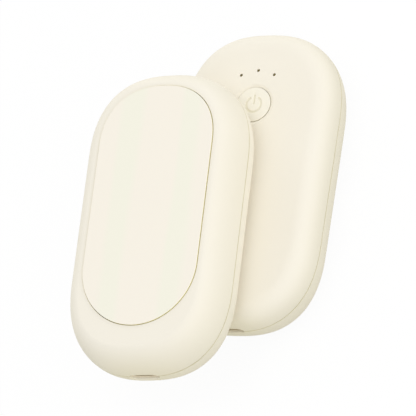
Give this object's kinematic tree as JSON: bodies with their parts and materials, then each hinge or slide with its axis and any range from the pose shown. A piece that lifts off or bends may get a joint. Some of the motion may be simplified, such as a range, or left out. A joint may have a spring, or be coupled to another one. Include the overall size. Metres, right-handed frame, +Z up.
{
  "type": "electric hand warmer",
  "caption": "Pair of pill-shaped pocket hand warmers, each with a slightly raised heating plate on one face, a round power button and indicator pinholes on the other, and a charging port.",
  "frame": {"origin": "under the middle of the rear unit, on the outer face of its heating plate, which lies on the ground", "axes": "+Z up through the pair, +Y along the rear unit towards its button end, +X across it"},
  "size_m": [0.0705, 0.1157, 0.0427],
  "materials": {
    "casing": "satin cream moulding",
    "heat_plate": "smooth cream paint on aluminium",
    "button": "satin cream moulding",
    "light_guide": "smoked clear moulding, dark when unlit",
    "heating_film": "amber polyimide film",
    "foam": "dull closed-cell foam",
    "cell": "pouch foil",
    "red_lead": "insulated wire",
    "black_lead": "insulated wire",
    "inner_frame": "plain white moulding",
    "board": "green solder mask",
    "steel": "plain stamped steel",
    "magnet": "nickel plated",
    "black_plastic": "moulded black resin",
    "inductor": "pressed powder",
    "led": "phosphor resin"
  },
  "bodies": {
    "root": {"rear_plate_shell": "casing", "rear_button_shell": "casing", "rear_heat_plate": "heat_plate", "rear_heating_film": "heating_film", "rear_insulation_pad": "foam", "rear_battery_cell": "cell", "rear_battery_lead_plus": "red_lead", "rear_battery_lead_minus": "black_lead", "rear_inner_frame": "inner_frame", "rear_circuit_board": "board", "rear_frame_screw_upper": "steel", "rear_frame_screw_lower": "steel", "rear_usb_socket_shell": "steel", "rear_usb_socket_tongue": "black_plastic", "rear_switch_body": "steel", "rear_light_guide": "light_guide", "rear_led_left": "led", "rear_led_middle": "led", "rear_led_right": "led", "rear_temperature_sensor": "black_plastic", "rear_charge_chip": "black_plastic", "rear_power_inductor": "inductor", "rear_magnet_upper": "magnet", "rear_magnet_lower": "magnet"},
    "rear_button": {"rear_button_cap": "button", "rear_switch_plunger": "black_plastic"},
    "front_unit": {"front_plate_shell": "casing", "front_button_shell": "casing", "front_heat_plate": "heat_plate", "front_heating_film": "heating_film", "front_insulation_pad": "foam", "front_battery_cell": "cell", "front_battery_lead_plus": "red_lead", "front_battery_lead_minus": "black_lead", "front_inner_frame": "inner_frame", "front_circuit_board": "board", "front_frame_screw_upper": "steel", "front_frame_screw_lower": "steel", "front_usb_socket_shell": "steel", "front_usb_socket_tongue": "black_plastic", "front_switch_body": "steel", "front_light_guide": "light_guide", "front_led_left": "led", "front_led_middle": "led", "front_led_right": "led", "front_temperature_sensor": "black_plastic", "front_charge_chip": "black_plastic", "front_power_inductor": "inductor", "front_magnet_upper": "magnet", "front_magnet_lower": "magnet"},
    "front_button": {"front_button_cap": "button", "front_switch_plunger": "black_plastic"}
  },
  "joints": [
    {"name": "rear_button_press", "type": "slide", "parent": "root", "child": "rear_button", "axis": [0, 0, -1], "range_m": [0, 0.0005], "stiffness_N_per_m": 600, "springref_m": -0.0005},
    {"name": "front_unit_lift", "type": "slide", "parent": "root", "child": "front_unit", "axis": [0, 0, 1], "range_m": [0, 0.03]},
    {"name": "front_button_press", "type": "slide", "parent": "front_unit", "child": "front_button", "axis": [0, 0, 1], "range_m": [0, 0.0005], "stiffness_N_per_m": 600, "springref_m": -0.0005}
  ]
}
